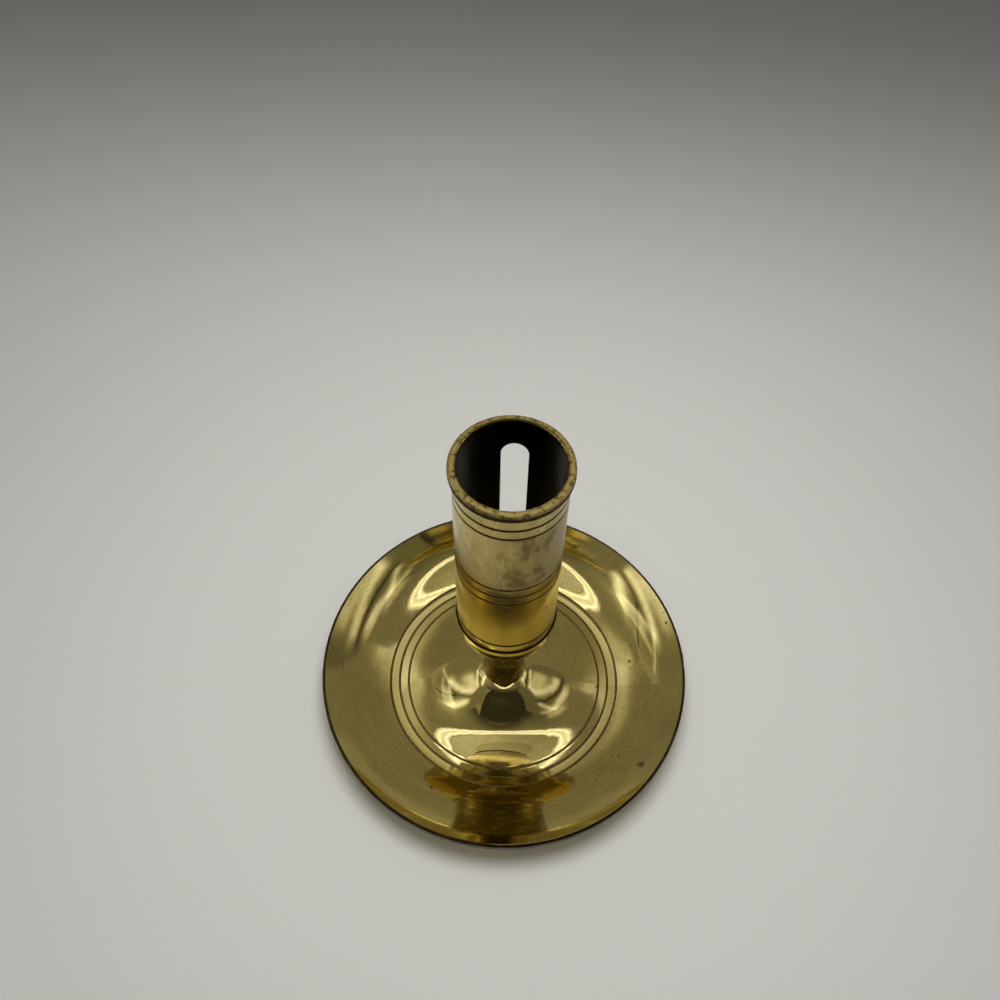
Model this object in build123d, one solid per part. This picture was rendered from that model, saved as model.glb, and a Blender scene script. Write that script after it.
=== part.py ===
from build123d import *
import os
from math import sqrt

# Brass push-up candlestick: a saucer base, a short turned stem and a slotted candle socket,
# with a pusher in the socket that a thumb knob lifts along the slot.
# Millimetres, +Z up. The origin is on the socket's axis at table level, and the slot faces +Y.

# Saucer base
base_radius = 50.6
plate_thickness = 2.2
rim_rise = 9.6                   # from the well to the flange's upper corner, before it is rounded
rim_top_round = 0.5
rim_bottom_round = 0.5
well_width = 1.4                 # flat between the raised centre and the flange
rise_start_radius = 26.5         # where the flat well starts to rise to the centre
rise_curve_radius = 32.0
boss_radius = 5.8                # flat at the top of the rise, which the stem covers
shoulder_curve_radius = 14.7     # where the rise rounds over towards the stem
shoulder_centre_radius = 1.9
underside_seat_radius = 7.0      # flat under the centre, for the washer
ring_line_pitch = 2.55           # outwards from the first ring, in the middle of the well
ring_line_count = 3

# Turned lines, cut with a round-nosed tool
ring_tool_radius = 0.32
wall_tool_radius = 0.3

# Stem
stem_length = 26.49
waist_depth = 0.4                # the stem's waist and bead are measured from the boss's radius
bead_proud = 0.7
bead_height = 2.2
neck_height = 4.6                # between the bead and the socket
neck_flare = 1.1
tenon_radius = 3.0
tenon_length = 6.0

# Socket foot
foot_fall = 0.6                  # the foot's underside falls this far towards the stem
bowl_proud = 0.45                # the bowl's widest part, beyond the tube
bowl_curve_radius = 12.0
bowl_depth = 5.55                # from its widest part to its lower corner
bowl_corner_round = 0.8
face_height = 1.2                # nearly upright face above the bowl
face_lean = 0.05                 # how much narrower the face is at its top
face_chamfer = 0.45              # from the face up to the band
band_height = 3.0
spigot_height = 2.7

# Socket tube
bore_radius = 11.5
tube_wall = 1.0
tube_length = 56.75
relief_depth = 0.25              # wider bore at the tube's foot, for the spigot and the parked pusher
mouth_chamfer = 0.25
lip_proud = 0.8
lip_height = 2.0
lip_top_round = 0.8
lip_under_round = 0.3
lip_cove = 0.3
upper_line_drop = 6.0            # from the tube's top
upper_line_pitch = 3.15
upper_line_count = 2
middle_line_drop = 29.8
middle_line_pitch = 3.2
middle_line_count = 3
slot_width = 6.2
slot_top_drop = 7.7
slot_sill = 0.15                 # from the socket's floor to the slot's lower end

# Pusher and its slide
pusher_clearance = 0.25
pusher_height = 7.6
pusher_crown = 1.4
pusher_wall = 2.4
pusher_edge = 0.4
stud_clearance = 0.3             # beside the stud in the slot
stud_pin_radius = 1.5
stud_pin_length = 4.0            # into the knob
slide_clearance = 0.3            # between the tube and the washer outside it
slide_washer_width = 2.2
slide_washer_thickness = 0.8

# Thumb knob
knob_foot_width = 0.9            # beyond the stud
knob_foot_thickness = 0.7
knob_neck_wall = 0.8             # round the stud's pin
knob_head_radius = 4.2
knob_head_thickness = 2.6
knob_length = 6.6
knob_crown = 1.1

# Base screw
screw_radius = 2.5
screw_grip = 8.0                 # length in the stem
screw_head_width = 1.9           # beyond the shank
screw_head_height = 1.9
driver_slot_width = 0.9
driver_slot_depth_share = 0.5    # of the head's height
base_washer_margin = 0.8         # inside the flat seat
base_washer_thickness = 0.5

# Fits
joint_gap = 0.05                 # soldered and screwed joints
hole_gap = 0.15                  # screw in its holes
relief_clearance = 0.5           # the relief ends this far above the parked pusher
cut_overrun = 1.0

# Radii that follow from these
flange_start_radius = rise_start_radius + well_width
ring_line_radius = rise_start_radius + well_width / 2
flange_width = base_radius - flange_start_radius
flange_curve_radius = (flange_width ** 2 + rim_rise ** 2) / (2 * rim_rise)
neck_flare_radius = boss_radius + neck_flare
tube_radius = bore_radius + tube_wall
bowl_radius = tube_radius + bowl_proud
bowl_corner_radius = bowl_radius - bowl_curve_radius + sqrt(bowl_curve_radius ** 2 - bowl_depth ** 2)
relief_radius = bore_radius + relief_depth
lip_radius = tube_radius + lip_proud
pusher_radius = bore_radius - pusher_clearance
stud_radius = slot_width / 2 - stud_clearance

# Heights up the column
well_height = plate_thickness
rise_centre_height = well_height + rise_curve_radius
flange_centre_height = well_height + flange_curve_radius
shoulder_reach = rise_curve_radius + shoulder_curve_radius     # between the two curves' centres
shoulder_centre_height = rise_centre_height - sqrt(
    shoulder_reach ** 2 - (rise_start_radius - shoulder_centre_radius) ** 2)
boss_height = shoulder_centre_height + sqrt(
    shoulder_curve_radius ** 2 - (boss_radius - shoulder_centre_radius) ** 2)
stem_top = boss_height + stem_length
bowl_foot = stem_top + foot_fall
bowl_top = bowl_foot + bowl_depth
face_top = bowl_top + face_height
band_foot = face_top + face_chamfer
tube_foot = band_foot + band_height
socket_floor = tube_foot + spigot_height
tube_top = tube_foot + tube_length
slot_low_centre = socket_floor + slot_sill + slot_width / 2
slot_high_centre = tube_top - slot_top_drop - slot_width / 2
relief_top = socket_floor + pusher_height + relief_clearance

# The slide's faces outward along +Y
washer_inner_face = tube_radius + slide_clearance
knob_seat = washer_inner_face + slide_washer_thickness


def bowl_height(radius, centre_radius, centre_height, curve_radius):
    """Height of the lower half of a circle in the turning plane."""
    return centre_height - sqrt(curve_radius ** 2 - (radius - centre_radius) ** 2)


def bowl_arc(start_radius, end_radius, centre_radius, centre_height, curve_radius):
    """Arc along the lower half of a circle, between two radii from the axis."""
    radii = (start_radius, (start_radius + end_radius) / 2, end_radius)
    points = [(r, bowl_height(r, centre_radius, centre_height, curve_radius)) for r in radii]
    return ThreePointArc(*points)


def bulge(start, end, middle_radius):
    """Arc from start to end that passes the given radius halfway up."""
    return ThreePointArc(start, (middle_radius, (start[1] + end[1]) / 2), end)


def crown_arc(edge_radius, edge_height, top_height):
    """Arc of a shallow dome, from its edge up to the axis."""
    rise = top_height - edge_height
    curve_radius = (edge_radius ** 2 + rise ** 2) / (2 * rise)
    middle_drop = curve_radius - sqrt(curve_radius ** 2 - (edge_radius / 2) ** 2)
    return ThreePointArc((edge_radius, edge_height), (edge_radius / 2, top_height - middle_drop),
                         (0, top_height))


def turned(*edges, rounds=()):
    """Solid of revolution about Z, from an outline of (radius, height) edges and rounded corners."""
    outline = make_face(Plane.XZ * Curve(edges))
    for (radius, height), round_radius in rounds:
        corner = outline.vertices().sort_by_distance((radius, 0, height))[0]
        outline = fillet(corner, round_radius)
    return revolve(outline, Axis.Z)


def tube_of(inner_radius, outer_radius, low, high):
    """Plain ring between two heights."""
    height = high - low
    ring = Cylinder(outer_radius, height) - Cylinder(inner_radius, height + cut_overrun)
    return Pos(0, 0, (low + high) / 2) * ring


def round_line(radius, height, tool_radius):
    """Turned line round the axis, to be cut away."""
    return Pos(0, 0, height) * Torus(radius, tool_radius)


def facing_slot(solid, distance, height):
    """Place a solid turned about Z so that it points out of the slot, along +Y."""
    return Pos(0, distance, height) * Rot(X=-90) * solid


def make_base_dish():
    """Saucer with a turned-up flange, three turned rings and a centre that rises to the stem."""
    rise = (rise_start_radius, rise_centre_height)
    flange = (flange_start_radius, flange_centre_height)
    hole_radius = screw_radius + hole_gap

    # The rise and the shoulder meet on the line between their centres
    meet_share = rise_curve_radius / shoulder_reach
    meet_radius = rise_start_radius + (shoulder_centre_radius - rise_start_radius) * meet_share
    meet_height = bowl_height(meet_radius, *rise, rise_curve_radius)
    shoulder_radius = (boss_radius + meet_radius) / 2
    shoulder_height = shoulder_centre_height + sqrt(
        shoulder_curve_radius ** 2 - (shoulder_radius - shoulder_centre_radius) ** 2)
    rim_height = bowl_height(base_radius, *flange, flange_curve_radius)
    rim_underside = bowl_height(base_radius, *flange, flange_curve_radius + plate_thickness)
    seat_height = bowl_height(underside_seat_radius, *rise, rise_curve_radius + plate_thickness)

    dish = turned(
        Polyline((hole_radius, seat_height), (hole_radius, boss_height), (boss_radius, boss_height)),
        ThreePointArc((boss_radius, boss_height), (shoulder_radius, shoulder_height),
                      (meet_radius, meet_height)),
        bowl_arc(meet_radius, rise_start_radius, *rise, rise_curve_radius),
        Line((rise_start_radius, well_height), (flange_start_radius, well_height)),
        bowl_arc(flange_start_radius, base_radius, *flange, flange_curve_radius),
        Line((base_radius, rim_height), (base_radius, rim_underside)),
        bowl_arc(base_radius, flange_start_radius, *flange, flange_curve_radius + plate_thickness),
        Line((flange_start_radius, 0), (rise_start_radius, 0)),
        bowl_arc(rise_start_radius, underside_seat_radius, *rise, rise_curve_radius + plate_thickness),
        Line((underside_seat_radius, seat_height), (hole_radius, seat_height)),
        rounds=[((base_radius, rim_height), rim_top_round), ((base_radius, rim_underside), rim_bottom_round)],
    )
    for ring in range(ring_line_count):
        radius = ring_line_radius + ring * ring_line_pitch
        height = well_height
        if radius > flange_start_radius:
            height = bowl_height(radius, *flange, flange_curve_radius)
        dish -= round_line(radius, height, ring_tool_radius)
    return dish, seat_height


def make_stem():
    """Waisted stem with a bead and a flared neck, a tenon above and a screw hole below."""
    bead_foot = stem_top - neck_height - bead_height
    neck_foot = stem_top - neck_height
    hole_radius = screw_radius + joint_gap
    hole_top = boss_height + screw_grip + cut_overrun
    tenon_top = stem_top + tenon_length
    stem = turned(
        Polyline((0, hole_top), (hole_radius, hole_top), (hole_radius, boss_height),
                 (boss_radius, boss_height)),
        bulge((boss_radius, boss_height), (boss_radius, bead_foot), boss_radius - waist_depth),
        bulge((boss_radius, bead_foot), (boss_radius, neck_foot), boss_radius + bead_proud),
        bulge((boss_radius, neck_foot), (neck_flare_radius, stem_top), boss_radius),
        Polyline((neck_flare_radius, stem_top), (tenon_radius, stem_top), (tenon_radius, tenon_top),
                 (0, tenon_top), (0, hole_top)),
    )
    return stem


def make_socket_foot():
    """Solid bottom of the socket: a rounded bowl, the face over it, a band and the tube's spigot."""
    hole_radius = tenon_radius + joint_gap
    hole_top = stem_top + tenon_length + joint_gap
    spigot_radius = relief_radius - joint_gap
    middle_drop = bowl_depth / 2
    middle_radius = bowl_radius - bowl_curve_radius + sqrt(bowl_curve_radius ** 2 - middle_drop ** 2)
    foot = turned(
        Polyline((0, hole_top), (hole_radius, hole_top), (hole_radius, stem_top),
                 (neck_flare_radius, stem_top), (bowl_corner_radius, bowl_foot)),
        ThreePointArc((bowl_corner_radius, bowl_foot), (middle_radius, bowl_top - middle_drop),
                      (bowl_radius, bowl_top)),
        Polyline((bowl_radius, bowl_top), (bowl_radius - face_lean, face_top), (tube_radius, band_foot),
                 (tube_radius, tube_foot), (spigot_radius, tube_foot), (spigot_radius, socket_floor),
                 (0, socket_floor), (0, hole_top)),
        rounds=[((bowl_corner_radius, bowl_foot), bowl_corner_round)],
    )
    for height in (band_foot, tube_foot):
        foot -= round_line(tube_radius, height, wall_tool_radius)
    return foot


def make_socket_tube():
    """Socket wall with its lip, turned lines, relieved foot and the slot through its back."""
    lip_foot = tube_top - lip_height
    tube = turned(
        Polyline((relief_radius, tube_foot), (tube_radius, tube_foot), (tube_radius, lip_foot),
                 (lip_radius, lip_foot), (lip_radius, tube_top), (bore_radius + mouth_chamfer, tube_top),
                 (bore_radius, tube_top - mouth_chamfer), (bore_radius, relief_top),
                 (relief_radius, relief_top), (relief_radius, tube_foot)),
        rounds=[((tube_radius, lip_foot), lip_cove), ((lip_radius, lip_foot), lip_under_round),
                ((lip_radius, tube_top), lip_top_round)],
    )
    drops = [upper_line_drop + n * upper_line_pitch for n in range(upper_line_count)]
    drops += [middle_line_drop + n * middle_line_pitch for n in range(middle_line_count)]
    for drop in drops:
        tube -= round_line(tube_radius, tube_top - drop, wall_tool_radius)
    tube -= round_line(tube_radius, tube_foot, wall_tool_radius)

    slot_run = slot_high_centre - slot_low_centre
    slot_middle = (slot_high_centre + slot_low_centre) / 2
    slot = Plane.XZ * Pos(0, slot_middle) * SlotCenterToCenter(slot_run, slot_width, rotation=90)
    return tube - extrude(slot, -(lip_radius + cut_overrun))


def make_pusher():
    """Inverted cup that lifts the candle, with a hole in its skirt for the stud."""
    top = socket_floor + pusher_height
    skirt_radius = pusher_radius - pusher_wall
    pusher = turned(Polyline(
        (0, top - pusher_crown), (skirt_radius, top - pusher_crown), (skirt_radius, socket_floor),
        (pusher_radius, socket_floor), (pusher_radius, top - pusher_edge),
        (pusher_radius - pusher_edge, top), (0, top), (0, top - pusher_crown)))
    hole = Cylinder(stud_pin_radius + joint_gap, 2 * pusher_wall + cut_overrun)
    return pusher - facing_slot(hole, pusher_radius, slot_low_centre)


def make_pusher_stud():
    """Stud from the pusher's skirt, through the slot, into the knob."""
    inner_end = pusher_radius - pusher_wall
    outer_end = knob_seat + stud_pin_length
    stud = turned(Polyline(
        (0, inner_end), (stud_pin_radius, inner_end), (stud_pin_radius, pusher_radius),
        (stud_radius, pusher_radius), (stud_radius, knob_seat), (stud_pin_radius, knob_seat),
        (stud_pin_radius, outer_end), (0, outer_end), (0, inner_end)))
    return facing_slot(stud, 0, slot_low_centre)


def make_slide_washer():
    """Flat washer that rides on the outside of the tube."""
    hole_radius = stud_radius + joint_gap
    washer = tube_of(hole_radius, hole_radius + slide_washer_width, washer_inner_face, knob_seat)
    return facing_slot(washer, 0, slot_low_centre)


def make_thumb_knob():
    """Turned knob with a drawn-in neck and a domed head."""
    hole_radius = stud_pin_radius + joint_gap
    hole_end = stud_pin_length + joint_gap
    foot_radius = stud_radius + knob_foot_width
    neck_radius = hole_radius + knob_neck_wall
    head_foot = knob_length - knob_head_thickness
    head_edge = knob_length - knob_crown
    knob = turned(
        Polyline((0, hole_end), (hole_radius, hole_end), (hole_radius, 0), (foot_radius, 0),
                 (foot_radius, knob_foot_thickness)),
        bulge((foot_radius, knob_foot_thickness), (knob_head_radius, head_foot), neck_radius),
        Line((knob_head_radius, head_foot), (knob_head_radius, head_edge)),
        crown_arc(knob_head_radius, head_edge, knob_length),
        Line((0, knob_length), (0, hole_end)),
    )
    return facing_slot(knob, knob_seat, slot_low_centre)


def make_base_washer(seat_height):
    """Washer between the screw's head and the underside of the dish."""
    washer_radius = underside_seat_radius - base_washer_margin
    return tube_of(screw_radius + hole_gap, washer_radius, seat_height - base_washer_thickness, seat_height)


def make_base_screw(seat_height):
    """Slotted screw up through the dish into the stem."""
    head_top = seat_height - base_washer_thickness
    head_foot = head_top - screw_head_height
    head_radius = screw_radius + screw_head_width
    driver_slot_depth = driver_slot_depth_share * screw_head_height
    tip = boss_height + screw_grip
    screw = turned(Polyline(
        (0, head_foot), (head_radius, head_foot), (head_radius, head_top), (screw_radius, head_top),
        (screw_radius, tip), (0, tip), (0, head_foot)))
    slot = Box(2 * head_radius + cut_overrun, driver_slot_width, 2 * driver_slot_depth)
    return screw - Pos(0, 0, head_foot) * slot


base_dish, seat_height = make_base_dish()
pieces = {
    "base_dish": base_dish,
    "base_washer": make_base_washer(seat_height),
    "base_screw": make_base_screw(seat_height),
    "stem": make_stem(),
    "socket_foot": make_socket_foot(),
    "socket_tube": make_socket_tube(),
    "pusher": make_pusher(),
    "pusher_stud": make_pusher_stud(),
    "slide_washer": make_slide_washer(),
    "thumb_knob": make_thumb_knob(),
}

os.makedirs("parts", exist_ok=True)
for name, solid in pieces.items():
    export_step(solid, f"parts/{name}.step")
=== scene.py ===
import math
import operator

import bpy
from mathutils import Matrix, Vector


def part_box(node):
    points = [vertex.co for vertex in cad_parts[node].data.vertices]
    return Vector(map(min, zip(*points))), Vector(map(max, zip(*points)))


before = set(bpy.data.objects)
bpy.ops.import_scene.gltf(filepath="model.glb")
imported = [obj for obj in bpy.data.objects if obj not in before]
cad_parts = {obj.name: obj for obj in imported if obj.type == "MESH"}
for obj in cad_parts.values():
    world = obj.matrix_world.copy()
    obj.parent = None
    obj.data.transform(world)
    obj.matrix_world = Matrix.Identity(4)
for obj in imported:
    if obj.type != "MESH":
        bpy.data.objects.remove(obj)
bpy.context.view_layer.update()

# Lengths are in mm, on the frame's own axes: +Z up the socket, +Y towards its slot
MM = 0.001

# Camera, found from the outlines of the rim, the rings, the lip and the slot
CAMERA_PLACE = Vector((6.0, -117.62, 256.74))
CAMERA_PITCH = math.radians(54.78)      # below the horizon
CAMERA_YAW = math.radians(-4.01)        # away from +Y, towards +X
CAMERA_ROLL = math.radians(1.354)
CAMERA_NEAR = 10                        # nearest place that it sees
FOCAL_SHARE = 0.9583                    # focal length over the picture's width
SENSOR_WIDTH = 36.0

# Light tent, which the brass mirrors
TENT_HEIGHT = 340
TENT_HALF_WIDTH = 185
TENT_BACK = 145
TENT_FRONT = -125
FLAP_EDGE = -125                        # a pale flap hangs between the left wall and this edge
CLOTH_STEP = 4
CLOTH_WARM = (1.0, 0.97, 0.86, 1.0)     # dim cloth
CLOTH_COOL = (1.0, 1.02, 1.3, 1.0)      # bright cloth
CLOTH_COOL_RANGE = (0.25, 0.8)
WEAVE_NOISE = (60.0, 4.0)
WEAVE_RANGE = (0.3, 0.7)
WEAVE_LEVELS = (0.92, 1.08)

# Brightness of each wall, and its folds as (start, end, width, brightness), placed across and up the wall
CEILING_LEVEL = 0.19
CEILING_FOLDS = [
    ((-185, -125), (185, -125), 45, -0.13),
    ((-172, 60), (-172, -40), 40, 0.06),
    ((172, -70), (172, -10), 50, -0.07),
    ((-120, 142), (-60, 138), 24, 0.35),
    ((174, 70), (174, 20), 16, 0.35),
    ((-178, 60), (-178, 0), 16, 0.2),
]
BACK_LEVEL = 0.18
BACK_FOLDS = [
    ((-75, 345), (85, 345), 40, 0.4),
    ((-62, 320), (-52, 250), 28, 0.2),
    ((-180, 335), (180, 335), 50, 0.08),
    ((-60, 28), (60, 28), 24, 0.07),
]
LEFT_LEVEL = 0.185
LEFT_LIT = (-78, -60)                   # folds catch the light only behind this place
LEFT_FOLDS = [
    ((-45, 255), (30, 338), 26, 1.0),
    ((15, 310), (45, 250), 22, 0.4),
    ((5, 285), (48, 212), 9, 0.45),
    ((48, 300), (90, 225), 8, 0.3),
    ((-55, 176), (55, 184), 19, 0.75),
    ((55, 188), (118, 214), 8, 0.35),
    ((-30, 145), (20, 116), 27, 0.55),
    ((-35, 138), (55, 82), 8, 0.3),
    ((10, 226), (105, 322), 4, -0.3),
    ((-60, 212), (60, 214), 7, -0.12),
    ((55, 255), (95, 330), 22, 0.15),
    ((135, 200), (135, 330), 20, 0.1),
]
RIGHT_LEVEL = 0.13
RIGHT_LIT = (-62, -25)                  # as on the left
RIGHT_FOLDS = [
    ((-30, 242), (50, 330), 12, 0.5),
    ((42, 305), (100, 295), 30, 0.55),
    ((58, 268), (98, 266), 14, 0.35),
    ((-15, 325), (10, 322), 20, 0.35),
    ((-20, 168), (92, 184), 21, 0.55),
    ((55, 200), (102, 203), 10, 0.25),
    ((-20, 142), (65, 122), 25, 0.4),
    ((45, 95), (80, 84), 14, 0.25),
    ((-40, 222), (120, 228), 9, -0.1),
    ((15, 330), (100, 255), 10, 0.12),
]
FLAP_LEVEL = 0.18
FLAP_FOLDS = [
    ((-180, 310), (-130, 275), 26, 0.08),
]
FRONT_LEVEL = 0.03                      # the tent's opening is dark
FRONT_FOLDS = [
    ((-45, 345), (25, 345), 30, 0.1),
    ((-125, 30), (185, 30), 60, 0.1),
    ((-70, 120), (70, 120), 40, 0.04),
]

# Ring lamp under the tent's ceiling, and the soft light that falls from it
LAMP_CENTRE = Vector((5.0, 14.0, 338.0))
LAMP_RADIUS = 95
LAMP_BAND = 20
LAMP_WHITE = (1.0, 1.03, 1.5, 1.0)
LAMP_DISCS = [(1, 42, 0.34), (42, 44, 0.24), (44, 83, 0.42)]     # inner and outer radius, brightness
LAMP_LEAN = 0.4                         # how much brighter the discs are on their left
BAND_GLOW = 1.0
LED_COUNT = 150
LED_SIZE = 2.0
LED_DROP = 0.5                          # below the band
LED_ROWS = [(-5.0, 0.0), (5.0, 0.5)]    # off the lamp's radius, and steps along it
LED_GLOW = 3.6
SOFT_LAMP_POWER = 0.62
ROOM_COLOUR = (1.0, 0.99, 0.96, 1.0)
ROOM_LEVEL = 0.22

# Pale floor, with painted shade that darkens it behind the object
FLOOR_SIZE = 6000
FLOOR_PALE = (0.79, 0.785, 0.735, 1.0)
FLOOR_PALER = (0.82, 0.815, 0.765, 1.0)
FLOOR_SHADE = (0.36, 0.355, 0.335, 1.0)
FLOOR_SHADE_RANGE = (120, 420)
FLOOR_NOISE = (600.0, 2.0)
FLOOR_ROUGHNESS = 0.75

# Colours of the brass and of what lies on it
BRIGHT_BRASS = (0.81, 0.65, 0.178, 1.0)
DULL_BRASS = (0.58, 0.44, 0.13, 1.0)
PITTED_BRASS = (0.26, 0.17, 0.045, 1.0)
CLOUDED_BRASS = (0.5, 0.385, 0.118, 1.0)
# brown for tarnish, and also painted shade on the stem, the foot's bowl, the tube's right side and under
# the lip
BROWN_TARNISH_AND_SHADE = (0.10, 0.045, 0.014, 1.0)
# near black: the dark bore, and painted shade on the rim's outer edge and under the lip
NEAR_BLACK = (0.012, 0.008, 0.005, 1.0)

# Finish of all the brass. A noise is (scale, detail, roughness), and a range takes it from none to full.
NOISE_MIDDLE = 0.5
NOISE_ROUGHNESS = 0.55
NO_TURN = (0.0, 0.0, 0.0)
PLAIN_PITS = 0.4
PLAIN_POLISH = 0.05
FILM_NOISE = (55.0, 5.0)
FILM_RANGE = (0.42, 0.68)
FILM_SHARE = 0.45
PIT_NOISE = (2200.0, 2.0)
PIT_RANGE = (0.56, 0.68)
PIT_SHARE = 0.6
WORN_NOISE = (85.0, 3.0)                # pits gather where the polish is worn
WORN_RANGE = (0.42, 0.6)
WORN_LEAST = 0.25
SPECK_SCALE = 240.0
SPECK_CHOICE = (0.95, 0.96)             # one cell in twenty holds a speck
SPECK_RANGE = (0.06, 0.16)
SPECK_DARKNESS = 0.8
GROOVE_NOISE = (900.0, 3.0)             # tarnish in the turned lines is uneven
GROOVE_RANGE = (0.2, 0.5)
GROOVE_LEAST = 0.7
SCRATCH_TURN = (0.0, 0.0, 0.6)
SCRATCH_STRETCH = (2500.0, 60.0, 60.0)
SCRATCH_DETAIL = 2.0
SCRATCH_RANGE = (0.66, 0.72)
BLACK_STRETCH = (500.0, 500.0, 40.0)
BLACK_DETAIL = 3.0
BLACK_RANGE = (0.45, 0.75)
UNEVEN_NOISE = (70.0, 1.0)
RELIEF_DEPTH = 0.004
UNEVEN_RELIEF = 0.5
SCRATCH_RELIEF = -0.2
PIT_RELIEF = 0.25
FILM_ROUGHNESS = 0.03
PIT_ROUGHNESS = 0.06
CLOUD_ROUGHNESS = 0.2
TARNISH_AND_SHADE_ROUGHNESS = 0.3
BLACK_ROUGHNESS = 0.35
COAT_ROUGHNESS = 0.06
CLOUD_DULLNESS = 0.5                    # share of a full cloud that hides the metal

# Turned lines, spots and hair marks, as shares of their width or size
LINE_SHARES = (0.25, 0.6)
SPOT_SHARES = (0.2, 0.7)
SPOT_NOISE = (1100.0, 3.0)
HAIR_SCALE = 350.0
HAIR_DETAIL = 1.0
HAIR_WANDER = 2.4
HAIR_DARKNESS = 0.75

# Saucer, with its spots as (place, size, darkness) and its hair marks as (start, end, width)
RING_RADIUS = 27.2
RING_PITCH = 2.55
RING_COUNT = 3
RING_WIDTH = 0.55
RING_DARKNESS = 0.8
# painted shade: the rim's outer edge is darkened near black, standing in for the shade it lies in
RIM_SHADE_EDGE = (1.0, 0.6)                   # in from the saucer's widest place
RIM_SHADE_DARKNESS = 0.95
DISH_COAT = 1.0
DISH_POLISH = (0.03, 0.04)              # at the well and on the flange
DISH_POLISH_RADII = (31, 38)
DISH_PITS = (0.35, 1.0)
DISH_PIT_RADII = (25, 34)
DISH_SPOTS = [
    ((38.7, -24.6, 7.8), 2.0, 0.75),
    ((-16.3, -34.7, 4.0), 0.8, 0.8),
    ((26.8, -0.7, 2.2), 0.8, 0.7),
    ((36.1, 12.4, 3.9), 0.7, 0.6),
    ((35.9, 7.5, 3.5), 1.0, 0.6),
]
DISH_HAIRS = [
    ((-50.1, 1.9, 11.4), (-44.7, -4.0, 7.1), 0.3),
    ((37.3, 9.2, 4.0), (44.8, -1.8, 7.1), 0.2),
    ((43.4, 7.8, 6.7), (46.2, 6.2, 8.3), 0.2),
]

# Socket tube, with heights given as drops from its top, and places across it from left to right
BORE_RADII = (11.65, 11.95)
WALL_RADII = (12.05, 12.2)
WALL_LINE_DROPS = [6.0, 9.15, 29.8, 33.0, 36.2]
WALL_LINE_WIDTH = 1.0
# painted shade: a dark line just under the overhanging lip
LIP_SHADE_LINE_DROP = 1.95
LIP_SHADE_LINE_WIDTH = 1.3
TUBE_PITS = 0.6
TUBE_POLISH = (0.11, 0.06)              # below and above the middle lines
TUBE_POLISH_DROPS = (36, 30)
UPPER_DROPS = (33, 27)                  # where the dull film starts
UPPER_LEAST = 0.1
TOP_LINES_DROPS = (10, 8)               # past the two lines under the lip
SMEAR_STRETCH = (260.0, 260.0, 90.0)
SMEAR_DETAIL = (5.0, 0.62)
SMEAR_RANGE = (0.32, 0.66)
SMEAR_LEAST = 0.6
# painted shade: the cloud, the patches and the shade grow towards the right, darkening the tube's right
# side
CLOUD_ACROSS = (-11, 9)
CLOUD_SHADE_SHARES = (0.65, 1.08)
CLOUD_AT_TOP = 0.9
PATCH_STRETCH = (150.0, 150.0, 90.0)
PATCH_DETAIL = (8.0, 0.7)
PATCH_RANGE = (0.46, 0.64)
PATCH_ACROSS = (-11, 8)
PATCH_SHADE_SHARES = (0.25, 0.85)
SHADE_ACROSS = (-4, 11)
SHADE_MOST = 0.45
SMUDGE_SHADE_AT_TOP = 0.3
CLOUD_UNDER_SMUDGE_SHADE = 0.5
LIP_DROPS = (1.9, 1.2)
LIP_NOISE = (1000.0, 4.0, 0.65)
LIP_RANGE = (0.5, 0.6)
LIP_STAINS = (0.36, 0.9)
# painted shade: the lip's outer face is darkened near black, standing in for the shade under the lip
LIP_SHADE_RADII = (12.75, 12.95)
LIP_SHADE_FOOT_DROPS = (2.3, 2.1)
LIP_SHADE_TOP_DROPS = (0.8, 0.5)
LIP_SHADE_DARKNESS = 0.95
# near black inside the bore, fading out just below the top
BORE_BLACK_TOP_DROPS = (0.35, 0.1)
TUBE_SPOTS = [
    ((5.2, -11.4, 86.7), 2.4, 0.35),
    ((3.0, -12.1, 91.4), 1.6, 0.3),
    ((9.6, -8.0, 59.0), 1.3, 0.7),
    ((-3.7, -11.9, 67.0), 0.8, 0.7),
    ((1.5, -12.4, 62.0), 0.6, 0.6),
]

# Socket foot, with heights given as drops from the tube's foot
BAND_HEIGHT = 3.0
# painted shade: brown on the bowl's lower part, standing in for the dark front that it mirrors
BOWL_SHADE_DROPS = (5.9, 4.9)
BOWL_PAINTED_SHADE = 0.5
FOOT_PITS = 0.6
FOOT_COAT = 0.5

# Stem, slide and fixings
FLECK_NOISE = (600.0, 4.0, 0.7)
FLECK_RANGE = (0.52, 0.66)
# painted shade: the stem's brown stands partly for tarnish and partly for the dark surroundings it mirrors
STEM_SHADE_BROWN = (0.75, 0.1)
STEM_POLISH = 0.06
SLIDE_NOISE = (180.0, 5.0, 0.65)
SLIDE_RANGE = (0.4, 0.65)
SLIDE_CLOUD = (0.1, 0.6)
SLIDE_POLISH = 0.1
FIXING_NOISE = (260.0, 6.0, 0.65)
FIXING_RANGE = (0.5, 0.66)
FIXING_BROWN = (0.05, 0.75)
FIXING_CLOUD = 0.6
FIXING_POLISH = 0.25

# Sockets of a colour mix, and sums that need no node when all their values are plain numbers
MIX_SHARE = 0
MIX_FIRST = 6
MIX_SECOND = 7
MIX_RESULT = 2
PLAIN_SUMS = {"ADD": operator.add, "SUBTRACT": operator.sub, "MULTIPLY": operator.mul, "MAXIMUM": max}


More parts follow.
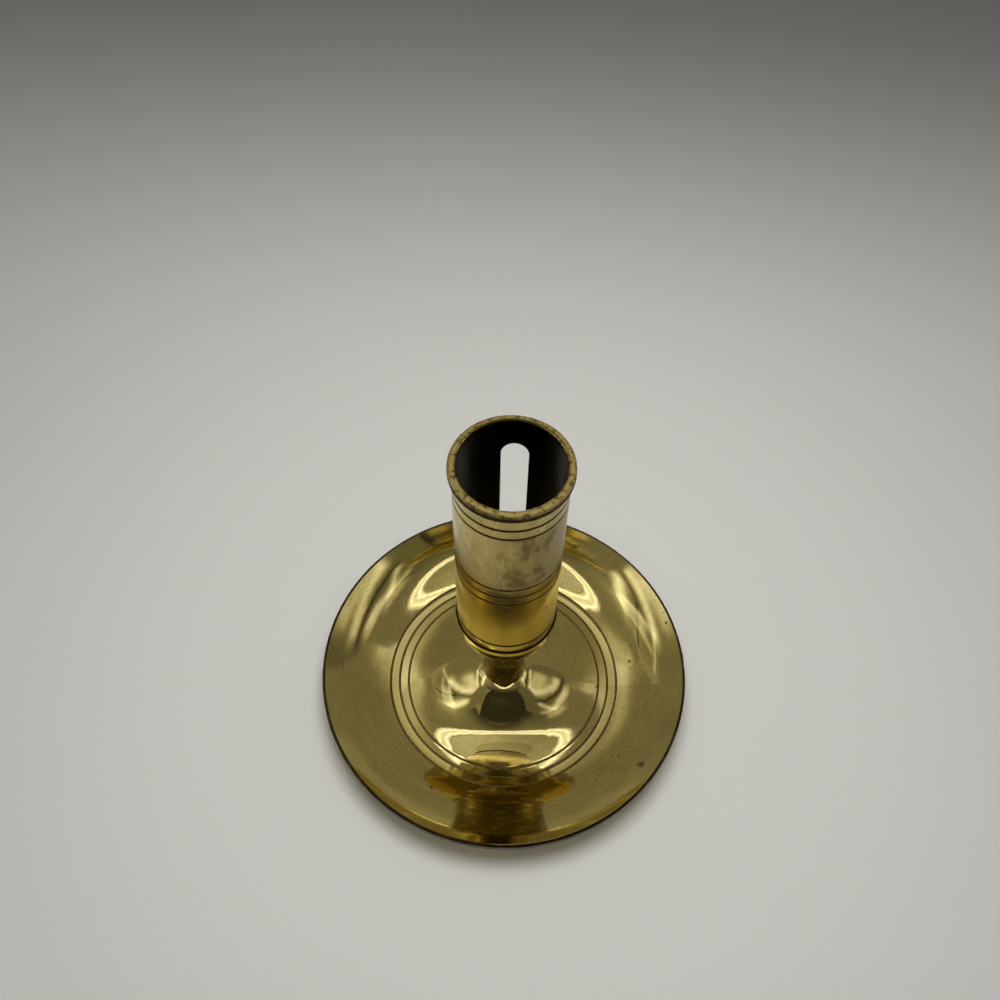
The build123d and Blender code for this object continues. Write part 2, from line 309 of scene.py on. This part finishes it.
class Shader:
    """One node material, with short ways to add and join its nodes."""

    def __init__(self, name):
        self.material = bpy.data.materials.new(name)
        self.material.use_nodes = True
        self.nodes = self.material.node_tree.nodes
        self.links = self.material.node_tree.links
        self.nodes.clear()

    def add(self, kind, inputs=None, **settings):
        """A node with its settings, and with its inputs linked or set."""
        node = self.nodes.new(kind)
        for key, value in settings.items():
            setattr(node, key, value)
        for key, value in (inputs or {}).items():
            if isinstance(value, bpy.types.NodeSocket):
                self.links.new(value, node.inputs[key])
            else:
                node.inputs[key].default_value = value
        return node

    def math(self, operation, *values):
        """A sum of numbers, at least one of which comes from a node, or else a plain number."""
        if not any(isinstance(value, bpy.types.NodeSocket) for value in values):
            return PLAIN_SUMS[operation](*values)
        return self.add("ShaderNodeMath", dict(enumerate(values)), operation=operation).outputs[0]

    def times(self, *values):
        result = values[0]
        for value in values[1:]:
            result = self.math("MULTIPLY", result, value)
        return result

    def plus(self, *values):
        result = values[0]
        for value in values[1:]:
            result = self.math("ADD", result, value)
        return result

    def most(self, values):
        """The largest of several masks."""
        result = values[0]
        for value in values[1:]:
            result = self.math("MAXIMUM", result, value)
        return result

    def rest(self, mask):
        """What a mask leaves free."""
        return self.math("SUBTRACT", 1.0, mask)

    def between(self, value, low, high, start=0.0, end=1.0):
        """A smooth step of a value between two limits."""
        inputs = {"Value": value, "From Min": low, "From Max": high, "To Min": start, "To Max": end}
        return self.add("ShaderNodeMapRange", inputs, interpolation_type="SMOOTHSTEP").outputs[0]

    def band(self, length, limits, start=0.0, end=1.0):
        """A smooth step of a length between two limits in mm."""
        low, high = limits
        return self.between(length, low * MM, high * MM, start, end)

    def vector(self, operation, *values):
        return self.add("ShaderNodeVectorMath", dict(enumerate(values)), operation=operation).outputs

    def scaled(self, value, share):
        """A vector times a number."""
        return self.add("ShaderNodeVectorMath", {0: value, "Scale": share}, operation="SCALE").outputs[0]

    def mix(self, share, first, second):
        """Colour between two colours."""
        inputs = {MIX_SHARE: share, MIX_FIRST: first, MIX_SECOND: second}
        return self.add("ShaderNodeMix", inputs, data_type="RGBA").outputs[MIX_RESULT]

    def noise(self, place, scale, detail, roughness=NOISE_ROUGHNESS):
        inputs = {"Vector": place, "Scale": scale, "Detail": detail, "Roughness": roughness}
        return self.add("ShaderNodeTexNoise", inputs).outputs[0]

    def streaks(self, place, stretch, detail, roughness=NOISE_ROUGHNESS, turn=NO_TURN):
        """Noise that runs one way."""
        inputs = {"Vector": place, "Rotation": turn, "Scale": stretch}
        return self.noise(self.add("ShaderNodeMapping", inputs).outputs[0], 1.0, detail, roughness)

    def line(self, length, place, width):
        """One on a turned line, falling to nought past half its width."""
        away = self.math("ABSOLUTE", self.math("SUBTRACT", length, place * MM))
        return self.band(away, [share * width for share in LINE_SHARES], 1.0, 0.0)

    def spot(self, place, centre, size, darkness):
        """Ragged round mark at one place."""
        away = self.vector("DISTANCE", place, Vector(centre) * MM)["Value"]
        uneven = self.math("SUBTRACT", self.noise(place, *SPOT_NOISE), NOISE_MIDDLE)
        ragged = self.plus(away, self.times(uneven, size * MM))
        return self.band(ragged, [share * size for share in SPOT_SHARES], darkness, 0.0)

    def hair(self, place, start, end, width):
        """Thin wavy mark from one place to another."""
        inputs = {"Vector": place, "Scale": HAIR_SCALE, "Detail": HAIR_DETAIL}
        wave = self.add("ShaderNodeTexNoise", inputs).outputs["Color"]
        wander = self.scaled(self.vector("SUBTRACT", wave, [NOISE_MIDDLE] * 3)[0], HAIR_WANDER * MM)
        here = self.vector("SUBTRACT", self.vector("ADD", place, wander)[0], Vector(start) * MM)[0]
        run = (Vector(end) - Vector(start)) * MM
        along = self.vector("DOT_PRODUCT", here, run / run.length_squared)["Value"]
        along = self.add("ShaderNodeClamp", {0: along}).outputs[0]
        away = self.vector("DISTANCE", here, self.scaled(run, along))["Value"]
        return self.band(away, [share * width for share in SPOT_SHARES], HAIR_DARKNESS, 0.0)

    def finish(self, surface):
        output = self.add("ShaderNodeOutputMaterial")
        self.links.new(surface, output.inputs["Surface"])
        return self.material


def brass(name, marks):
    """Polished, handled brass: a thin film, pits, specks, scratches, tarnish and painted shade.

    marks(shader, place, radius, height) gives the piece's own masks: lines, cloud, brown (tarnish and, on
    some pieces, painted shade) and a near-black mix (a dark bore, and painted shade on the rim's edge and
    under the lip) from none to full, pits as a share, polish as the roughness of the clean metal, and coat
    as the share of its clear lacquer.
    """
    shader = Shader(name)
    place = shader.add("ShaderNodeTexCoord").outputs["Object"]
    x, y, height = shader.add("ShaderNodeSeparateXYZ", {0: place}).outputs
    radius = shader.math("SQRT", shader.plus(shader.times(x, x), shader.times(y, y)))
    own = {"lines": 0.0, "cloud": 0.0, "brown": 0.0, "soot": None, "coat": 0.0,
           "pits": PLAIN_PITS, "polish": PLAIN_POLISH}
    own.update(marks(shader, place, radius, height))

    film = shader.between(shader.noise(place, *FILM_NOISE), *FILM_RANGE)
    grain = shader.noise(place, *PIT_NOISE)
    worn = shader.between(shader.noise(place, *WORN_NOISE), *WORN_RANGE, WORN_LEAST, 1.0)
    pitted = shader.times(shader.between(grain, *PIT_RANGE), own["pits"], worn)
    cells = shader.add("ShaderNodeTexVoronoi", {"Vector": place, "Scale": SPECK_SCALE})
    draw = shader.add("ShaderNodeSeparateColor", {0: cells.outputs["Color"]}).outputs[0]
    speck = shader.between(cells.outputs["Distance"], *SPECK_RANGE, SPECK_DARKNESS, 0.0)
    specks = shader.times(speck, shader.between(draw, *SPECK_CHOICE))
    uneven = shader.between(shader.noise(place, *GROOVE_NOISE), *GROOVE_RANGE, GROOVE_LEAST, 1.0)
    # tarnish, together with the painted shade that the pieces' brown and line masks carry
    tarnish_and_shade = shader.most([specks, shader.times(own["lines"], uneven), own["brown"]])

    colour = shader.mix(shader.times(film, FILM_SHARE), BRIGHT_BRASS, DULL_BRASS)
    colour = shader.mix(shader.times(pitted, PIT_SHARE), colour, PITTED_BRASS)
    colour = shader.mix(own["cloud"], colour, CLOUDED_BRASS)
    colour = shader.mix(tarnish_and_shade, colour, BROWN_TARNISH_AND_SHADE)
    rough = shader.plus(own["polish"], shader.times(film, FILM_ROUGHNESS),
                        shader.times(pitted, PIT_ROUGHNESS), shader.times(own["cloud"], CLOUD_ROUGHNESS),
                        shader.times(tarnish_and_shade, TARNISH_AND_SHADE_ROUGHNESS))
    metal = shader.rest(shader.times(own["cloud"], CLOUD_DULLNESS))
    coat = shader.times(own["coat"], shader.rest(tarnish_and_shade)) if own["coat"] else 0.0
    # near-black mix: the dark bore, and painted shade on the rim's edge and under the lip
    if own["soot"]:
        streaks = shader.streaks(place, BLACK_STRETCH, BLACK_DETAIL)
        black = shader.mix(shader.between(streaks, *BLACK_RANGE), NEAR_BLACK, BROWN_TARNISH_AND_SHADE)
        colour = shader.mix(own["soot"], colour, black)
        rough = shader.plus(rough, shader.times(own["soot"], BLACK_ROUGHNESS))
        coat = shader.times(coat, shader.rest(own["soot"])) if own["coat"] else 0.0

    scratches = shader.streaks(place, SCRATCH_STRETCH, SCRATCH_DETAIL, turn=SCRATCH_TURN)
    relief = shader.plus(shader.times(shader.noise(place, *UNEVEN_NOISE), UNEVEN_RELIEF),
                         shader.times(shader.between(scratches, *SCRATCH_RANGE), SCRATCH_RELIEF),
                         shader.times(grain, own["pits"], PIT_RELIEF))
    bump = shader.add("ShaderNodeBump", {"Height": relief, "Strength": 1.0, "Distance": RELIEF_DEPTH * MM})
    inputs = {"Base Color": colour, "Metallic": metal, "Roughness": rough, "Normal": bump.outputs[0],
              "Coat Weight": coat, "Coat Roughness": COAT_ROUGHNESS}
    return shader.finish(shader.add("ShaderNodeBsdfPrincipled", inputs).outputs[0])


def dish_marks(shader, place, radius, height):
    """Saucer: its rings, painted shade on the outer edge of its rim and a few stains."""
    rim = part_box("base_dish")[1].x / MM
    rings = [shader.line(radius, RING_RADIUS + n * RING_PITCH, RING_WIDTH) for n in range(RING_COUNT)]
    stains = [shader.spot(place, *spot) for spot in DISH_SPOTS]
    stains += [shader.hair(place, *hair) for hair in DISH_HAIRS]
    return {"lines": shader.times(shader.most(rings), RING_DARKNESS),
            "brown": shader.most(stains),
            # painted shade on the rim's outer edge, carried in the near-black mix
            "soot": shader.band(radius, [rim - inset for inset in RIM_SHADE_EDGE], 0.0, RIM_SHADE_DARKNESS),
            "polish": shader.band(radius, DISH_POLISH_RADII, *DISH_POLISH),
            "pits": shader.band(radius, DISH_PIT_RADII, *DISH_PITS),
            "coat": DISH_COAT}


def tube_marks(shader, place, radius, height):
    """Socket tube: its lines, a dull film above the middle, a stained lip, smudges, painted shade under
    the lip and on the tube's right side, and a near-black bore.
    """
    foot, top = (corner.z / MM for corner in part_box("socket_tube"))

    def at_drops(drops, start=0.0, end=1.0):
        """A smooth step between two heights below the tube's top."""
        return shader.band(height, [top - drop for drop in drops], start, end)

    across = shader.add("ShaderNodeSeparateXYZ", {0: place}).outputs[0]
    outside = shader.band(radius, WALL_RADII)
    lines = [shader.line(height, top - drop, WALL_LINE_WIDTH) for drop in WALL_LINE_DROPS]
    lines.append(shader.line(height, foot, WALL_LINE_WIDTH))
    # painted shade: a dark line just under the lip, among the turned lines
    lines.append(shader.line(height, top - LIP_SHADE_LINE_DROP, LIP_SHADE_LINE_WIDTH))

    upper = shader.times(at_drops(UPPER_DROPS, UPPER_LEAST, 1.0), outside)
    patches = shader.between(shader.streaks(place, PATCH_STRETCH, *PATCH_DETAIL), *PATCH_RANGE)
    # smudges, made stronger on the right as painted shade
    patches = shader.times(patches, shader.band(across, PATCH_ACROSS, *PATCH_SHADE_SHARES))
    # painted shade: brown growing across to the tube's right side
    shade = shader.band(across, SHADE_ACROSS, 0.0, SHADE_MOST)
    smudge_and_shade = shader.times(upper, at_drops(TOP_LINES_DROPS, 1.0, SMUDGE_SHADE_AT_TOP),
                          shader.most([patches, shade]))
    smears = shader.streaks(place, SMEAR_STRETCH, *SMEAR_DETAIL)
    smears = shader.between(smears, *SMEAR_RANGE, SMEAR_LEAST, 1.0)
    cloud = shader.times(upper, smears, shader.band(across, CLOUD_ACROSS, *CLOUD_SHADE_SHARES),
                         at_drops(TOP_LINES_DROPS, 1.0, CLOUD_AT_TOP),
                         shader.between(smudge_and_shade, 0.0, 1.0, 1.0, CLOUD_UNDER_SMUDGE_SHADE))

    lip_stain = shader.between(shader.noise(place, *LIP_NOISE), *LIP_RANGE, *LIP_STAINS)
    lip_stain = shader.times(at_drops(LIP_DROPS), lip_stain)
    # painted shade: near black on the lip's outer face
    lip_painted_shade = shader.times(shader.band(radius, LIP_SHADE_RADII), at_drops(LIP_SHADE_FOOT_DROPS),
                            at_drops(LIP_SHADE_TOP_DROPS, LIP_SHADE_DARKNESS, 0.0))
    # near black inside the bore
    bore = shader.times(shader.band(radius, BORE_RADII, 1.0, 0.0), at_drops(BORE_BLACK_TOP_DROPS, 1.0, 0.0))
    spots = [shader.spot(place, *spot) for spot in TUBE_SPOTS]
    return {"lines": shader.times(shader.most(lines), outside),
            "cloud": cloud,
            "brown": shader.most([lip_stain, smudge_and_shade] + spots),
            "soot": shader.most([bore, lip_painted_shade]),
            "polish": at_drops(TUBE_POLISH_DROPS, *TUBE_POLISH),
            "pits": TUBE_PITS}


def foot_marks(shader, place, radius, height):
    """Socket foot: the lines at both edges of its band, and brown painted shade on the lower bowl."""
    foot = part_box("socket_tube")[0].z / MM
    lines = [shader.line(height, foot - drop, WALL_LINE_WIDTH) for drop in (0, BAND_HEIGHT)]
    return {"lines": shader.most(lines),
            # painted shade: brown on the lower bowl
            "brown": shader.band(height, [foot - drop for drop in BOWL_SHADE_DROPS], BOWL_PAINTED_SHADE, 0.0),
            "pits": FOOT_PITS,
            "coat": FOOT_COAT}


def stem_marks(shader, place, radius, height):
    """Stem: brown all over, partly tarnish and partly painted shade for the dark it mirrors, with bright
    flecks.
    """
    flecks = shader.noise(place, *FLECK_NOISE)
    return {"brown": shader.between(flecks, *FLECK_RANGE, *STEM_SHADE_BROWN), "polish": STEM_POLISH}


def slide_marks(shader, place, radius, height):
    """Pusher, stud, washer and knob: a patchy film."""
    film = shader.noise(place, *SLIDE_NOISE)
    return {"cloud": shader.between(film, *SLIDE_RANGE, *SLIDE_CLOUD), "polish": SLIDE_POLISH}


def fixing_marks(shader, place, radius, height):
    """Screw and washer underneath: dull, with brown patches."""
    patches = shader.noise(place, *FIXING_NOISE)
    return {"cloud": FIXING_CLOUD,
            "brown": shader.between(patches, *FIXING_RANGE, *FIXING_BROWN),
            "polish": FIXING_POLISH}


def dress(node, material):
    """Give a CAD node its finish."""
    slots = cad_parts[node].data.materials
    slots.clear()
    slots.append(material)


def emitter(name, strength):
    """Plain lamp light."""
    shader = Shader(name)
    inputs = {"Color": LAMP_WHITE, "Strength": strength}
    return shader.finish(shader.add("ShaderNodeEmission", inputs).outputs[0])


def tent_cloth(name):
    """Softly glowing cloth, as bright as its mesh says, with a slight weave."""
    shader = Shader(name)
    place = shader.add("ShaderNodeTexCoord").outputs["Object"]
    glow = shader.add("ShaderNodeAttribute", attribute_name="glow").outputs["Fac"]
    weave = shader.between(shader.noise(place, *WEAVE_NOISE), *WEAVE_RANGE, *WEAVE_LEVELS)
    colour = shader.mix(shader.between(glow, *CLOTH_COOL_RANGE), CLOTH_WARM, CLOTH_COOL)
    inputs = {"Color": colour, "Strength": shader.times(glow, weave)}
    return shader.finish(shader.add("ShaderNodeEmission", inputs).outputs[0])


def stage_mesh(name, corners, faces, material):
    """A piece of the studio, which is no part of the object, from corners in mm."""
    mesh = bpy.data.meshes.new(name)
    mesh.from_pydata([Vector(corner) * MM for corner in corners], [], faces)
    mesh.materials.append(material)
    piece = bpy.data.objects.new(name, mesh)
    bpy.context.scene.collection.objects.link(piece)
    return piece


def only_mirrored(piece):
    """Leave a piece of the studio to be seen in the metal alone."""
    piece.visible_camera = False
    piece.visible_diffuse = False
    piece.visible_shadow = False
    piece.visible_transmission = False


def light_up(piece, levels):
    """Keep how brightly a piece of the studio glows at each of its points."""
    glow = piece.data.attributes.new("glow", "FLOAT", "POINT")
    for item, level in zip(glow.data, levels):
        item.value = max(level, 0.0)


def off_fold(point, start, end):
    """Distance of a point on the cloth from a fold."""
    here = Vector(point) - Vector(start)
    run = Vector(end) - Vector(start)
    share = min(max(here.dot(run) / run.length_squared, 0.0), 1.0)
    return (here - share * run).length


def fade(value, start, end):
    """Smooth step from nought to one."""
    share = min(max((value - start) / (end - start), 0.0), 1.0)
    return share * share * (3 - 2 * share)


def fold_light(point, folds):
    """What a wall's folds add to its brightness at a point."""
    return sum(brightness * math.exp(-(off_fold(point, start, end) / width) ** 2)
               for start, end, width, brightness in folds)


def hang_cloth(name, place, left, right, level, folds, low=0, high=TENT_HEIGHT, lit_from=None):
    """A wall of the tent, as a grid that glows along its folds. place(across, up) gives its points."""
    columns = round((right - left) / CLOTH_STEP)
    rows = round((high - low) / CLOTH_STEP)
    points = [(left + (right - left) * i / columns, low + (high - low) * k / rows)
              for k in range(rows + 1) for i in range(columns + 1)]
    starts = [k * (columns + 1) + i for k in range(rows) for i in range(columns)]
    faces = [(n, n + 1, n + columns + 2, n + columns + 1) for n in starts]
    wall = stage_mesh(name, [place(*point) for point in points], faces, tent_cloth(name + "_cloth"))
    shares = [fade(across, *lit_from) if lit_from else 1.0 for across, up in points]
    light_up(wall, [level + share * fold_light(point, folds) for share, point in zip(shares, points)])
    only_mirrored(wall)


def make_tent():
    """Ceiling, walls, front flap and the dark opening beside it, seen only in the metal."""
    side, back, front, top = TENT_HALF_WIDTH, TENT_BACK, TENT_FRONT, TENT_HEIGHT
    hang_cloth("tent_ceiling", lambda x, y: (x, y, top), -side, side, CEILING_LEVEL, CEILING_FOLDS,
               front, back)
    hang_cloth("tent_back", lambda x, z: (x, back, z), -side, side, BACK_LEVEL, BACK_FOLDS)
    hang_cloth("tent_left", lambda y, z: (-side, y, z), front, back, LEFT_LEVEL, LEFT_FOLDS,
               lit_from=LEFT_LIT)
    hang_cloth("tent_right", lambda y, z: (side, y, z), front, back, RIGHT_LEVEL, RIGHT_FOLDS,
               lit_from=RIGHT_LIT)
    hang_cloth("tent_flap", lambda x, z: (x, front, z), -side, FLAP_EDGE, FLAP_LEVEL, FLAP_FOLDS)
    hang_cloth("dark_front", lambda x, z: (x, front, z), FLAP_EDGE, side, FRONT_LEVEL, FRONT_FOLDS)


def lamp_ring(name, inner, outer, strength, lean):
    """Flat glowing ring of the lamp, above its LEDs."""
    corners, faces, levels = [], [], []
    for n in range(LED_COUNT):
        angle = 2 * math.pi * n / LED_COUNT
        for radius in (inner, outer):
            across = radius * math.cos(angle)
            corners.append(LAMP_CENTRE + Vector((across, radius * math.sin(angle), LED_DROP)))
            levels.append(strength * (1 - lean * across / LAMP_RADIUS))
        after = (n + 1) % LED_COUNT
        faces.append([2 * n, 2 * n + 1, 2 * after + 1, 2 * after])
    ring = stage_mesh(name, corners, faces, tent_cloth(name + "_glow"))
    light_up(ring, levels)
    only_mirrored(ring)


def make_leds():
    """Two rows of small square lamps round the ring."""
    corners, faces = [], []
    for n in range(LED_COUNT):
        for row, shift in LED_ROWS:
            angle = 2 * math.pi * (n + shift) / LED_COUNT
            out = Vector((math.cos(angle), math.sin(angle), 0))
            side = Vector((-out.y, out.x, 0))
            middle = LAMP_CENTRE + (LAMP_RADIUS + row) * out
            faces.append([len(corners) + k for k in range(4)])
            corners += [middle + LED_SIZE / 2 * (a * out + b * side)
                        for a, b in ((-1, -1), (1, -1), (1, 1), (-1, 1))]
    only_mirrored(stage_mesh("lamp_leds", corners, faces, emitter("led_glow", LED_GLOW)))


def make_lamp():
    """Ring of small lamps on a bright band round pale discs, and its soft light on the floor."""
    make_leds()
    lamp_ring("lamp_band", LAMP_RADIUS - LAMP_BAND / 2, LAMP_RADIUS + LAMP_BAND / 2, BAND_GLOW, 0.0)
    for n, (inner, outer, strength) in enumerate(LAMP_DISCS):
        lamp_ring("lamp_disc_%d" % n, inner, outer, strength, LAMP_LEAN)
    light = bpy.data.lights.new("soft_lamp", "AREA")
    light.shape = "DISK"
    light.size = 2 * LAMP_RADIUS * MM
    light.energy = SOFT_LAMP_POWER
    soft_lamp = bpy.data.objects.new("soft_lamp", light)
    soft_lamp.location = LAMP_CENTRE * MM
    soft_lamp.visible_glossy = False
    bpy.context.scene.collection.objects.link(soft_lamp)


def make_floor():
    """Pale floor, with painted shade that darkens it behind the object."""
    shader = Shader("pale_floor")
    place = shader.add("ShaderNodeTexCoord").outputs["Object"]
    back = shader.add("ShaderNodeSeparateXYZ", {0: place}).outputs[1]
    colour = shader.mix(shader.noise(place, *FLOOR_NOISE), FLOOR_PALE, FLOOR_PALER)
    colour = shader.mix(shader.band(back, FLOOR_SHADE_RANGE), colour, FLOOR_SHADE)
    surface = shader.add("ShaderNodeBsdfPrincipled", {"Base Color": colour, "Roughness": FLOOR_ROUGHNESS})
    half = FLOOR_SIZE / 2
    corners = [(-half, -half, 0), (half, -half, 0), (half, half, 0), (-half, half, 0)]
    stage_mesh("floor", corners, [(0, 1, 2, 3)], shader.finish(surface.outputs[0]))


def make_world():
    """Even light of the room."""
    world = bpy.data.worlds.new("soft_room")
    world.use_nodes = True
    background = world.node_tree.nodes["Background"]
    background.inputs["Color"].default_value = ROOM_COLOUR
    background.inputs["Strength"].default_value = ROOM_LEVEL
    bpy.context.scene.world = world


def make_camera():
    """Camera at the photograph's viewing angle."""
    forward = Vector((math.sin(CAMERA_YAW) * math.cos(CAMERA_PITCH),
                      math.cos(CAMERA_YAW) * math.cos(CAMERA_PITCH), -math.sin(CAMERA_PITCH)))
    right = Vector((math.cos(CAMERA_YAW), -math.sin(CAMERA_YAW), 0))
    up = right.cross(forward)
    across = math.cos(CAMERA_ROLL) * right + math.sin(CAMERA_ROLL) * up
    upright = math.cos(CAMERA_ROLL) * up - math.sin(CAMERA_ROLL) * right
    data = bpy.data.cameras.new("camera")
    data.sensor_width = SENSOR_WIDTH
    data.lens = FOCAL_SHARE * SENSOR_WIDTH
    data.clip_start = CAMERA_NEAR * MM
    camera = bpy.data.objects.new("camera", data)
    turn = Matrix((across, upright, -forward)).transposed().to_4x4()
    camera.matrix_world = Matrix.Translation(CAMERA_PLACE * MM) @ turn
    bpy.context.scene.collection.objects.link(camera)
    bpy.context.scene.camera = camera


slide_brass = brass("slide_brass", slide_marks)
fixing_brass = brass("fixing_brass", fixing_marks)
dress("base_dish", brass("saucer_brass", dish_marks))
dress("socket_tube", brass("tube_brass", tube_marks))
dress("socket_foot", brass("foot_brass", foot_marks))
dress("stem", brass("stem_brass", stem_marks))
for node in ("pusher", "pusher_stud", "slide_washer", "thumb_knob"):
    dress(node, slide_brass)
for node in ("base_washer", "base_screw"):
    dress(node, fixing_brass)

make_tent()
make_lamp()
make_floor()
make_world()
make_camera()
bpy.context.scene.view_settings.view_transform = "Standard"
